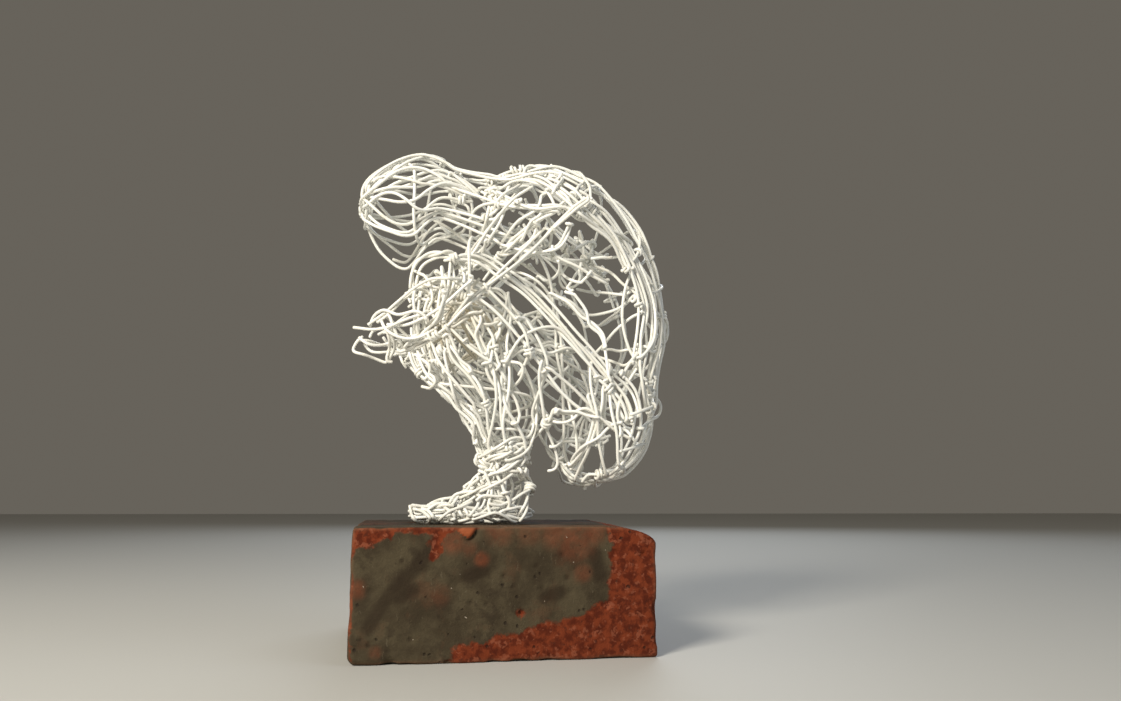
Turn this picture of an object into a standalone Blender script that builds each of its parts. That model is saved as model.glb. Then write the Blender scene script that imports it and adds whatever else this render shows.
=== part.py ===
"""A crouching figure of bent and wound white wire, standing on half of an old paving brick.

The figure faces -X, +Z is up, and the origin is the middle of the brick's underside.
"""

import math

import bmesh
import bpy
from mathutils import Vector

# The brick: a paving brick cut to about its own width, with one corner worn away.
BRICK_WIDTH = 0.118
BRICK_DEPTH = 0.114
BRICK_HEIGHT = 0.050
BRICK_EDGE = 0.0012
WORN_ALONG_FRONT = 0.011
WORN_DOWN = 0.008
WORN_BACK = 0.085
LUMP_SIZE = (0.0046, 0.0016, 0.0024)
LUMP_FROM_MIDDLE = 0.0146
LUMP_BELOW_TOP = 0.0034

# The wire. Its solid has four sides, whose corners stand this far out for a round wire's area.
WIRE_DIAMETER = 0.0014
WIRE_HALF = WIRE_DIAMETER / 2 * math.sqrt(math.pi / 2)
KNOT_RADIUS = 0.0019
SOLE_GAP = 0.0003

# How short an edge left by crossing wires is dropped. The first that leaves a closed solid counts.
SLIVERS = (0.000003, 0.000001, 0.000002)

# The figure. Its ribs below are drawn 172 units high, from the soles to the crown.
FIGURE_HEIGHT = 0.172
UNIT = FIGURE_HEIGHT / 172
BODY_STRANDS = 8
LEG_STRANDS = 4
ARM_STRANDS = 3
SHAPE_TOLERANCE = 0.0018
STEPS_PER_TURN = 10
WINDING_SWAY = 0.02
CHORDS = 8
CHORD_SKIPS = 3
CHORD_SPREAD = 0.1
CHORD_FIRST = 0.12
CHORD_LAST = 0.88
GOLDEN = 0.618
KNOTTED_EVERY = 4
LEG_WINDINGS = [("thigh", 1.5), ("shin", 2), ("foot", 1.5)]

# Each finger's reach beyond the hand and rise of its tip, in the figure's units.
FINGERS = [(5, 7), (7, -2)]
FINGER_HALF = 1.6

# Ribs of each form, seen from -Y: (outer x, z), (inner x, z), middle y and half breadth.
# A limb is given for the +Y side, and mirrored for the other.
FORMS = {
    "head": [
        ((-63, 143), (-63, 142), 0, 2),
        ((-60, 156), (-59, 131), 0, 13),
        ((-50, 166), (-53, 121), 0, 18),
        ((-37, 171), (-42, 115), 0, 20),
        ((-24, 168), (-31, 129), 0, 18),
        ((-6, 158), (-14, 130), 0, 13),
    ],
    "torso": [
        ((-10, 158), (-17, 131), 0, 14),
        ((11, 165), (-3, 117), 0, 27),
        ((29, 168), (9, 110), 0, 35),
        ((49, 159), (16, 102), 0, 36),
        ((65, 142), (20, 92), 0, 32),
        ((77, 119), (22, 82), 0, 29),
        ((82, 91), (23, 71), 0, 28),
        ((77, 62), (25, 58), 0, 31),
        ((71, 39), (27, 44), 0, 33),
        ((58, 22), (29, 34), 0, 30),
        ((42, 18), (33, 27), 0, 18),
    ],
    "thigh": [
        ((68, 52), (41, 20), 15, 15),
        ((57, 63), (23, 36), 16, 15),
        ((36, 86), (10, 54), 17, 15),
        ((7, 111), (-10, 75), 18, 14),
        ((-17, 120), (-27, 89), 18, 12),
        ((-31, 116), (-36, 104), 18, 8),
    ],
    "shin": [
        ((-33, 115), (-14, 114), 17, 9),
        ((-38, 101), (-1, 98), 17, 11),
        ((-37, 79), (10, 76), 16, 12),
        ((-33, 59), (16, 55), 15, 12),
        ((-19, 49), (18, 41), 14, 11),
        ((-9, 36), (15, 33), 13, 10),
        ((-6, 26), (12, 25), 13, 9),
    ],
    "foot": [
        ((-6, 26), (12, 25), 13, 9),
        ((-10, 18), (16, 11), 13, 10),
        ((-18, 11), (10, 1), 14, 11),
        ((-28, 7), (-12, 1), 15, 11),
        ((-37, 5), (-34, 1), 15, 8),
    ],
    "arm": [
        ((10, 149), (19, 130), 30, 9),
        ((-6, 132), (5, 114), 32, 9),
        ((-25, 114), (-14, 95), 29, 8),
        ((-41, 99), (-31, 81), 22, 7),
        ((-52, 89), (-42, 76), 16, 6),
        ((-58, 86), (-48, 77), 13, 5),
    ],
}


def smooth(values, place):
    """The smooth curve through evenly spaced values, read at a place from 0 to 1."""
    last = len(values) - 1
    at = min(max(place, 0), 1) * last
    i = min(int(at), last - 1)
    f = at - i
    before, a, b, after = (values[min(max(j, 0), last)] for j in (i - 1, i, i + 1, i + 2))
    bend = 2 * a + (b - before) * f
    bend += (2 * before - 5 * a + 4 * b - after) * f * f
    return (bend + (3 * (a - b) + after - before) * f ** 3) / 2


def standing(point):
    """A point in the figure's units as a place on the brick, with the wire above its top."""
    place = point * UNIT
    place.z = max(place.z, WIRE_HALF) + BRICK_HEIGHT + SOLE_GAP
    return place


def on(form, along, turn, side=1, lift=1):
    """A point of a form: turn 0 is its outer edge, 0.25 its +Y side, and lift 0 its axis."""
    ribs = FORMS[form]
    outer = smooth([Vector((rib[0][0], 0, rib[0][1])) for rib in ribs], along)
    inner = smooth([Vector((rib[1][0], 0, rib[1][1])) for rib in ribs], along)
    middle, half = smooth([Vector((rib[2], rib[3])) for rib in ribs], along)
    angle = math.tau * turn
    point = (outer + inner) / 2 + (outer - inner) / 2 * math.cos(angle) * lift
    point.y = (middle + half * math.sin(angle) * lift) * side
    return standing(point)


def thinned(line):
    """The line's ends and the fewest points between them that keep its shape."""
    run = line[-1] - line[0]
    if run.length < WIRE_DIAMETER:
        middle = max(range(len(line)), key=lambda i: (line[i] - line[0]).length)
        off = (line[middle] - line[0]).length
    else:
        middle = max(range(len(line)), key=lambda i: (line[i] - line[0]).cross(run).length)
        off = (line[middle] - line[0]).cross(run).length / run.length
    if off < SHAPE_TOLERANCE:
        return [line[0], line[-1]]
    return thinned(line[: middle + 1])[:-1] + thinned(line[middle:])


def bent_wire(stations, steps=16):
    """A smooth wire through the stations, with a point only where its bends need one."""
    count = (len(stations) - 1) * steps
    return thinned([smooth(stations, i / count) for i in range(count + 1)])


def body_strand(k):
    """A strand from the nose over the head and down the trunk to the seat."""
    turn = k / BODY_STRANDS
    line = [on("head", along, turn) for along in (0, 0.25, 0.5, 0.75)]
    line += [on("torso", along, turn) for along in (0.04, 0.15, 0.3, 0.45, 0.6, 0.75, 0.88, 1)]
    return bent_wire(line)


def leg_strand(k, side):
    """A strand from the hip along the thigh, over the knee and down to the toes."""
    turn = k / LEG_STRANDS
    line = [on("torso", 0.8 + 0.05 * k, side * 2 / BODY_STRANDS)]
    line += [on("thigh", along, turn, side) for along in (0.15, 0.35, 0.55, 0.78)]
    line += [on("shin", along, -turn, side) for along in (0.1, 0.3, 0.5, 0.7, 0.9)]
    line += [on("foot", along, -turn, side) for along in (0.1, 0.3, 0.6, 1)]
    return bent_wire(line)


def arm_strand(k, side):
    """A strand from the shoulder to the finger tips."""
    turn = k / ARM_STRANDS + 0.1
    shoulder = on("torso", 0.16 + 0.07 * k, side * 2 / BODY_STRANDS)
    return bent_wire([shoulder] + [on("arm", along / 5, turn, side) for along in range(1, 6)])


def winding(form, turns, side=1, first=0.05, last=0.95):
    """A wire wound round a form, a little unevenly."""
    steps = round(STEPS_PER_TURN * turns)
    line = []
    for step in range(steps + 1):
        along = first + (last - first) * step / steps + WINDING_SWAY * math.sin(2.3 * step)
        line.append(on(form, along, step / STEPS_PER_TURN, side))
    return bent_wire(line, 6)


def chords(strands):
    """Straight lengths of wire across the inside, each from a bend of one strand to another's."""
    lines = []
    for k in range(CHORDS):
        one = strands[k % len(strands)]
        other = strands[(k + CHORD_SKIPS) % len(strands)]
        place = CHORD_FIRST + (CHORD_LAST - CHORD_FIRST) * (GOLDEN * k % 1)
        further = place + CHORD_SPREAD * (-1) ** (k // len(strands))
        lines.append([one[round(place * (len(one) - 1))], other[round(further * (len(other) - 1))]])
    return lines


def finger(reach, drop, side):
    """A hairpin of wire at the hand's end."""
    tip = on("arm", 1, 0.5, side) + Vector((-reach, 0, drop)) * UNIT
    spread = Vector((0, FINGER_HALF * UNIT, 0))
    first, last = on("arm", 0.8, 0.1, side), on("arm", 1, 0.1 + 1 / ARM_STRANDS, side)
    return [first, tip + spread, tip - spread, last]


def trunk_wires():
    strands = [body_strand(k) for k in range(BODY_STRANDS)]
    return strands + [winding("head", 2), winding("torso", 3)] + chords(strands)


def leg_wires(side):
    strands = [leg_strand(k, side) for k in range(LEG_STRANDS)]
    strands += [winding(form, turns, side) for form, turns in LEG_WINDINGS]
    return strands


def arm_wires(side):
    lines = [arm_strand(k, side) for k in range(ARM_STRANDS)]
    lines += [winding("arm", 2, side, first=0.2)]
    return lines + [finger(reach, drop, side) for reach, drop in FINGERS]


def knots(lines):
    """The places where wires are twisted together: the nose, the toes and bends between them."""
    places = [lines[0][0]]
    for line in lines[::KNOTTED_EVERY]:
        places.append(line[len(line) // 2])
    return places


def tidy_mesh(mesh, sliver=SLIVERS[0]):
    """Closes caps and drops the slivers that crossing wires leave."""
    shape = bmesh.new()
    shape.from_mesh(mesh)
    bmesh.ops.remove_doubles(shape, verts=shape.verts, dist=1e-6)
    bmesh.ops.dissolve_degenerate(shape, edges=shape.edges, dist=sliver)
    bmesh.ops.triangulate(shape, faces=shape.faces)
    shape.to_mesh(mesh)
    shape.free()


def is_closed(mesh):
    """Whether as many faces run one way along every edge of the mesh as the other way."""
    shape = bmesh.new()
    shape.from_mesh(mesh)
    closed = True
    for edge in shape.edges:
        forward = sum(loop.vert == edge.verts[0] for loop in edge.link_loops)
        closed = closed and 2 * forward == len(edge.link_loops)
    shape.free()
    return closed


def evaluated_mesh(obj):
    graph = bpy.context.evaluated_depsgraph_get()
    return bpy.data.meshes.new_from_object(obj.evaluated_get(graph))


def tube(line, collection):
    """A length of wire as a mesh of four sides, with the area of a round wire's section."""
    data = bpy.data.curves.new("wire", "CURVE")
    data.dimensions = "3D"
    data.bevel_depth = WIRE_HALF
    data.bevel_resolution = 0
    data.use_fill_caps = True
    spline = data.splines.new("POLY")
    spline.points.add(len(line) - 1)
    for point, place in zip(spline.points, line):
        point.co = (*place, 1)
    guide = bpy.data.objects.new("wire_line", data)
    collection.objects.link(guide)
    mesh = evaluated_mesh(guide)
    bpy.data.objects.remove(guide)
    tidy_mesh(mesh)
    made = bpy.data.objects.new("wire", mesh)
    collection.objects.link(made)
    return made


def knot(place, collection):
    mesh = bpy.data.meshes.new("knot")
    shape = bmesh.new()
    bmesh.ops.create_icosphere(shape, subdivisions=1, radius=KNOT_RADIUS)
    shape.to_mesh(mesh)
    shape.free()
    made = bpy.data.objects.new("knot", mesh)
    made.location = place
    collection.objects.link(made)
    return made


def add_boolean(obj, operation, collection):
    modifier = obj.modifiers.new(operation.lower(), "BOOLEAN")
    modifier.operation = operation
    modifier.operand_type = "COLLECTION"
    modifier.collection = collection


def wire_figure(parts, helpers):
    """Every wire and knot of the figure, fused into one solid."""
    lines = trunk_wires()
    for side in (1, -1):
        lines += leg_wires(side) + arm_wires(side)
    first, *others = [tube(line, helpers) for line in lines]
    others += [knot(place, helpers) for place in knots(lines)]
    helpers.objects.unlink(first)
    parts.objects.link(first)
    first.name = "wire_figure"
    add_boolean(first, "UNION", helpers)
    union = evaluated_mesh(first)
    for sliver in SLIVERS:
        mesh = union.copy()
        tidy_mesh(mesh, sliver)
        if is_closed(mesh):
            break
    first.modifiers.clear()
    first.data = mesh
    for obj in others:
        bpy.data.objects.remove(obj)
    return first


def corner_cutter(collection):
    """A block whose face takes the worn corner off the brick, at its right, front and top."""
    corner = Vector((BRICK_WIDTH / 2, -BRICK_DEPTH / 2, BRICK_HEIGHT))
    along = corner - Vector((WORN_ALONG_FRONT, 0, 0))
    down = corner - Vector((0, 0, WORN_DOWN))
    back = corner + Vector((0, WORN_BACK, 0))
    outward = (back - along).cross(down - along).normalized()
    if outward.z < 0:
        outward.negate()
    bpy.ops.mesh.primitive_cube_add(size=BRICK_WIDTH)
    cutter = bpy.context.object
    cutter.name = "corner_cutter"
    cutter.rotation_mode = "QUATERNION"
    cutter.rotation_quaternion = outward.to_track_quat("Z", "Y")
    cutter.location = along + outward * BRICK_WIDTH / 2
    move_to(cutter, collection)


def brick_lump(collection):
    """A lump of clay that stands a little proud of the front face."""
    bpy.ops.mesh.primitive_ico_sphere_add(subdivisions=2, radius=1)
    lump = bpy.context.object
    lump.name = "brick_lump"
    lump.scale = LUMP_SIZE
    lump.location = (-LUMP_FROM_MIDDLE, -BRICK_DEPTH / 2, BRICK_HEIGHT - LUMP_BELOW_TOP)
    move_to(lump, collection)


def move_to(obj, collection):
    for old in obj.users_collection:
        old.objects.unlink(obj)
    collection.objects.link(obj)
    obj.hide_render = True
    obj.display_type = "WIRE"


def brick_plinth(parts, cutters, lumps):
    mesh = bpy.data.meshes.new("brick_plinth")
    shape = bmesh.new()
    bmesh.ops.create_cube(shape, size=1)
    bmesh.ops.scale(shape, verts=shape.verts, vec=(BRICK_WIDTH, BRICK_DEPTH, BRICK_HEIGHT))
    shape.to_mesh(mesh)
    shape.free()
    brick = bpy.data.objects.new("brick_plinth", mesh)
    brick.location.z = BRICK_HEIGHT / 2
    parts.objects.link(brick)
    bevel = brick.modifiers.new("worn_edges", "BEVEL")
    bevel.width = BRICK_EDGE
    bevel.segments = 2
    corner_cutter(cutters)
    add_boolean(brick, "DIFFERENCE", cutters)
    brick_lump(lumps)
    add_boolean(brick, "UNION", lumps)
    return brick


def material(name, colour, roughness):
    made = bpy.data.materials.new(name)
    made.use_nodes = True
    shader = made.node_tree.nodes["Principled BSDF"]
    shader.inputs["Base Color"].default_value = (*colour, 1)
    shader.inputs["Roughness"].default_value = roughness
    shader.inputs["Metallic"].default_value = 0
    made.diffuse_color = (*colour, 1)
    return made


def collection(name):
    made = bpy.data.collections.new(name)
    bpy.context.scene.collection.children.link(made)
    return made


def main():
    for obj in list(bpy.data.objects):
        bpy.data.objects.remove(obj)
    parts = collection("wire_sculpture")
    figure = wire_figure(parts, collection("fused_wires"))
    figure.data.materials.append(material("white_wire", (0.86, 0.85, 0.8), 0.3))
    brick = brick_plinth(parts, collection("cutters"), collection("lumps"))
    brick.data.materials.append(material("fired_brick", (0.21, 0.13, 0.09), 0.85))


main()
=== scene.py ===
"""The looks of a crouching figure of bent and wound white wire on half of an old paving brick.

The figure faces -X, +Z is up, and the photograph's side is -Y. Lengths are in metres.
"""

import math

import bmesh
import bpy
import numpy as np
from mathutils import Matrix, Vector, kdtree, noise


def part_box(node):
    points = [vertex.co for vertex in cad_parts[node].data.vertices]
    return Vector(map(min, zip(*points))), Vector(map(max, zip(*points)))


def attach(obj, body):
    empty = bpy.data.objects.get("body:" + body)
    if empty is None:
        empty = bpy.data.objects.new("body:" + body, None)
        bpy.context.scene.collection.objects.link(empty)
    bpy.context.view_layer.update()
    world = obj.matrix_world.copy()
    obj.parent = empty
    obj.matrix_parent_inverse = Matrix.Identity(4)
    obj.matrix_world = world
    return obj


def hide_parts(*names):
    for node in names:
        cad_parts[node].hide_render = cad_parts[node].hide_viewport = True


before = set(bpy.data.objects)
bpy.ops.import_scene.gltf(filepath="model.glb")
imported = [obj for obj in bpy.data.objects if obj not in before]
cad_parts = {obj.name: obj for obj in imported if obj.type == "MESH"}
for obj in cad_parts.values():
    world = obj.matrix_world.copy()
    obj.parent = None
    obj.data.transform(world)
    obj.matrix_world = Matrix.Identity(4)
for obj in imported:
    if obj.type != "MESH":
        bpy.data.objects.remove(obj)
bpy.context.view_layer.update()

# The frame: the brick's solid gives the plinth's place, and the figure's solid the unit of FORMS.
BRICK_LOW, BRICK_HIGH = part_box("brick_plinth")
FIGURE_LOW, FIGURE_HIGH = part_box("wire_figure")
BRICK_TOP = BRICK_HIGH.z
BRICK_HALF = np.array([BRICK_HIGH.x, BRICK_HIGH.y, BRICK_TOP / 2])
CHIP_OUT = -BRICK_LOW.y - BRICK_HIGH.y
FIGURE_UNITS = 171.75
UNIT = (FIGURE_HIGH.z - BRICK_TOP) / FIGURE_UNITS

# The camera that took the photograph, and the picture's size in pixels.
PICTURE = (1121, 701)
LENS = 0.0280
FILM = 0.036
CAMERA_AT = np.array([-0.04146, -0.39760, 0.06099])
YAW = math.radians(10.25)
PITCH = math.radians(9.59)
ROLL = math.radians(0.14)

# The brick: its grid, its rounded lower left corner, how far its worn corner reaches along the
# front, down and back, and its small pits (their number, widths and depths).
BRICK_CELL = 0.0008
LOWER_LEFT_ROUND = 0.0022
WORN = (0.020, 0.0068, 0.2)
SMALL_PITS = 70
SMALL_PIT_WIDTH = (0.0012, 0.0026)
SMALL_PIT_DEPTH = (0.0002, 0.0007)

# What is seen on its front face, in the photograph's pixels: the chip that stands proud, pits
# (with width and depth), patches of the red body, places where it shows through, and dark bands.
CHIP = [(455, 530), (463, 527), (476, 527), (475, 531), (471, 537), (467, 539), (461, 534)]
PITS = [(521, 613, 0.0016, 0.0014), (447, 664, 0.0016, 0.0012), (563, 555, 0.0012, 0.0008),
        (368, 646, 0.0011, 0.0007), (360, 640, 0.001, 0.0006), (410, 640, 0.0012, 0.0007),
        (542, 589, 0.0012, 0.0006), (504, 576, 0.001, 0.0006), (513, 586, 0.0009, 0.0005),
        (567, 578, 0.001, 0.0006), (536, 566, 0.0009, 0.0005), (470, 603, 0.0011, 0.0006),
        (643, 554, 0.0012, 0.0007), (402, 561, 0.001, 0.0006), (486, 604, 0.0009, 0.0005)]
RED_PATCHES = [
    [(606, 518), (610, 532), (611, 550), (610, 571), (609, 599), (597, 604), (586, 612), (572, 617),
     (559, 623), (543, 623), (526, 630), (513, 635), (497, 632), (490, 641), (457, 645), (450, 655),
     (446, 672), (670, 672), (670, 518)],
    [(350, 561), (354, 552), (363, 548), (372, 546), (380, 542), (390, 538), (394, 534), (411, 533),
     (432, 534), (430, 545), (429, 555), (432, 561), (437, 556), (441, 549), (444, 541), (447, 534),
     (456, 530), (478, 529), (480, 515), (340, 515), (340, 561)],
    [(340, 570), (351, 577), (349, 600), (349, 620), (348, 672), (340, 672)],
    [(518, 609), (523, 608), (526, 612), (523, 617), (518, 616)],
]
THIN_SKIN = [(482, 559, 7, 0.8), (575, 541, 20, 0.6), (583, 573, 9, 0.5), (556, 534, 15, 0.55),
             (594, 533, 13, 0.6), (356, 590, 9, 0.6), (375, 653, 6, 0.4), (453, 542, 12, 0.6),
             (468, 548, 9, 0.35), (530, 532, 13, 0.4), (500, 532, 14, 0.45), (440, 595, 10, 0.25)]
STAINS = [((388, 597), (431, 551), 0.0030), ((368, 628), (388, 597), 0.0030),
          ((468, 577), (484, 570), 0.0028), ((595, 555), (600, 574), 0.0034),
          ((546, 596), (560, 592), 0.003), ((398, 598), (412, 590), 0.003)]

# Where the far leg's shin stands further back than the near one's: height, reach, how far.
TUCKS = [(0.106, 0.014, 0.010), (0.078, 0.011, 0.004)]

# The seeds of the random wires and of the small pits.
WIRE_SEED = 11
PIT_SEED = 5

# The wire's thickness, and the spacing of points along it, along a wire with wound ends and
# along a knot.
WIRE = 0.0014
STEP = 0.0015
HOOKED_STEP = 0.0012
KNOT_STEP = 0.0009

# The wire's tube: its sides, the length and the bend from one ring to the next, and how far its
# rounded end stands out and how wide that is, in wires.
SIDES = 8
RING_LENGTH = 0.004
RING_BEND = math.radians(13)
END_OUT = 0.2
END_RADIUS = 0.33

# How wires that run into each other are pushed apart: rounds, the share of each overlap that is
# taken away in one, and the points of one wire that count as neighbours.
EASE_ROUNDS = 24
EASE_SHARE = 0.3
NEIGHBOURS = 3

# The room between a generated wire and the brick, until the figure is set down, and the room
# between the wires and the box of the figure's solid.
SOLE_ROOM = 0.0003
BOX_MARGIN = 0.0001

# The piece that the strands of each form belong to.
HOMES = {"torso": "trunk", "head": "head", "thigh": "legs", "shin": "legs", "foot": "feet",
         "arm": "arms"}

# How often a traced strand of each form is repeated on the far side, and how far it sways
# there. On the near side it sways by the first length, and each wire beside it by the second more.
FAR = {"torso": (0.35, 0.002), "head": (0.5, 0.002), "thigh": (0.45, 0.002),
       "shin": (0.5, 0.002), "foot": (0.6, 0.001), "arm": (0.8, 0.001)}
NEAR_SWAY = (0.0003, 0.0007)
FAR_HAND_RAISE = 0.003

# Where a strand leaves the head and enters the trunk. Where generated strands run down the back,
# the flanks and the head, in turns round them, and how many wires lie across the back.
HEAD_END = 0.86
TRUNK_START = 0.06
BACK_TURNS = [-0.08, 0, 0.07]
FLANK_TURNS = [0.24, 0.38, 0.52, 0.62]
HEAD_TURNS = [0.64, 0.72, 0.79, 0.88, 0.12, 0.22, 0.33]
BACK_TIES = 8

# An end is wound round another wire within reach, by a number of turns from one of the ranges,
# each with its chance. It stays free on a short wire, low over the brick and in the hand, which
# lies below these values of x and z.
HOOK_REACH = 0.006
END_TURNS = [(0.1, 0.2), (0.3, 0.75), (1.3, 2.2)]
END_SHARES = [0.55, 0.4, 0.05]
FREE_SHORT = 0.014
FREE_BELOW = 0.012
FREE_HAND = (-0.038, 0.155)

# Where a wire is wound round another, the distance between the two and the rise of each turn,
# in wires. The knots tried in each piece, their turns, and the x in front of which there is none.
WOUND = 1.02
TURN_RISE = 1.05
KNOTS = {"head": 2, "trunk": 14, "legs": 10, "feet": 4, "arms": 2}
KNOT_TURNS = (1.4, 2.8)
KNOTLESS = -0.044

# A darker, warmer tint on the wires round the knee: its middle, where the tint is full and where it
# is gone, and how strong it is.
CREAM_AT = (-0.0165, -0.01, 0.1365)
CREAM_REACH = (0.008, 0.026)
CREAM_SHARE = 0.75

# The lights (place, size, watts and colour), what they point at, and the grey of the surroundings.
LIGHTS = {"key": ((-0.62, -0.72, 0.62), 0.3, 16, (1, 0.93, 0.81)),
          "fill": ((0.9, -0.6, 0.7), 1.0, 3, (0.75, 0.86, 1)),
          "back": ((0.35, 1.1, 0.8), 0.8, 5, (0.85, 0.92, 1))}
LIT_AT = (0, 0, 0.12)
FLOOR_SIZE = 6
FLOOR_COLOUR = (0.5, 0.5, 0.48, 1)
WORLD_COLOUR = (0.136, 0.124, 0.104, 1)

# Ribs of each form, seen from -Y: (outer x, z), (inner x, z), middle y and half breadth, 172
# units high from the soles to the crown. A limb is given for the +Y side.
FORMS = {
    "head": [
        ((-63, 143), (-63, 142), 0, 2),
        ((-60, 156), (-59, 131), 0, 13),
        ((-50, 166), (-53, 121), 0, 18),
        ((-37, 171), (-42, 115), 0, 20),
        ((-24, 168), (-31, 129), 0, 18),
        ((-6, 158), (-14, 130), 0, 13),
    ],
    "torso": [
        ((-10, 158), (-17, 131), 0, 14),
        ((11, 165), (-3, 117), 0, 27),
        ((29, 168), (9, 110), 0, 35),
        ((49, 159), (16, 102), 0, 36),
        ((65, 142), (20, 92), 0, 32),
        ((77, 119), (22, 82), 0, 29),
        ((82, 91), (23, 71), 0, 28),
        ((77, 62), (25, 58), 0, 31),
        ((71, 39), (27, 44), 0, 33),
        ((58, 22), (29, 34), 0, 30),
        ((42, 18), (33, 27), 0, 18),
    ],
    "thigh": [
        ((68, 52), (41, 20), 15, 15),
        ((57, 63), (23, 36), 16, 15),
        ((36, 86), (10, 54), 17, 15),
        ((7, 111), (-10, 75), 18, 14),
        ((-17, 120), (-27, 89), 18, 12),
        ((-31, 116), (-36, 104), 18, 8),
    ],
    "shin": [
        ((-33, 115), (-14, 114), 17, 9),
        ((-38, 101), (-1, 98), 17, 11),
        ((-37, 79), (10, 76), 16, 12),
        ((-33, 59), (16, 55), 15, 12),
        ((-19, 49), (18, 41), 14, 11),
        ((-9, 36), (15, 33), 13, 10),
        ((-6, 26), (12, 25), 13, 9),
    ],
    "foot": [
        ((-6, 26), (12, 25), 13, 9),
        ((-10, 18), (16, 11), 13, 10),
        ((-18, 11), (10, 1), 14, 11),
        ((-28, 7), (-12, 1), 15, 11),
        ((-37, 5), (-34, 1), 15, 8),
    ],
    "arm": [
        ((10, 149), (19, 130), 30, 9),
        ((-6, 132), (5, 114), 32, 9),
        ((-25, 114), (-14, 95), 29, 8),
        ((-41, 99), (-31, 81), 22, 7),
        ((-52, 89), (-42, 76), 16, 6),
        ((-58, 86), (-48, 77), 13, 5),
    ],
}
RIBS = {name: np.array([(*o, *i, y, half) for o, i, y, half in ribs], float)
        for name, ribs in FORMS.items()}

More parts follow.
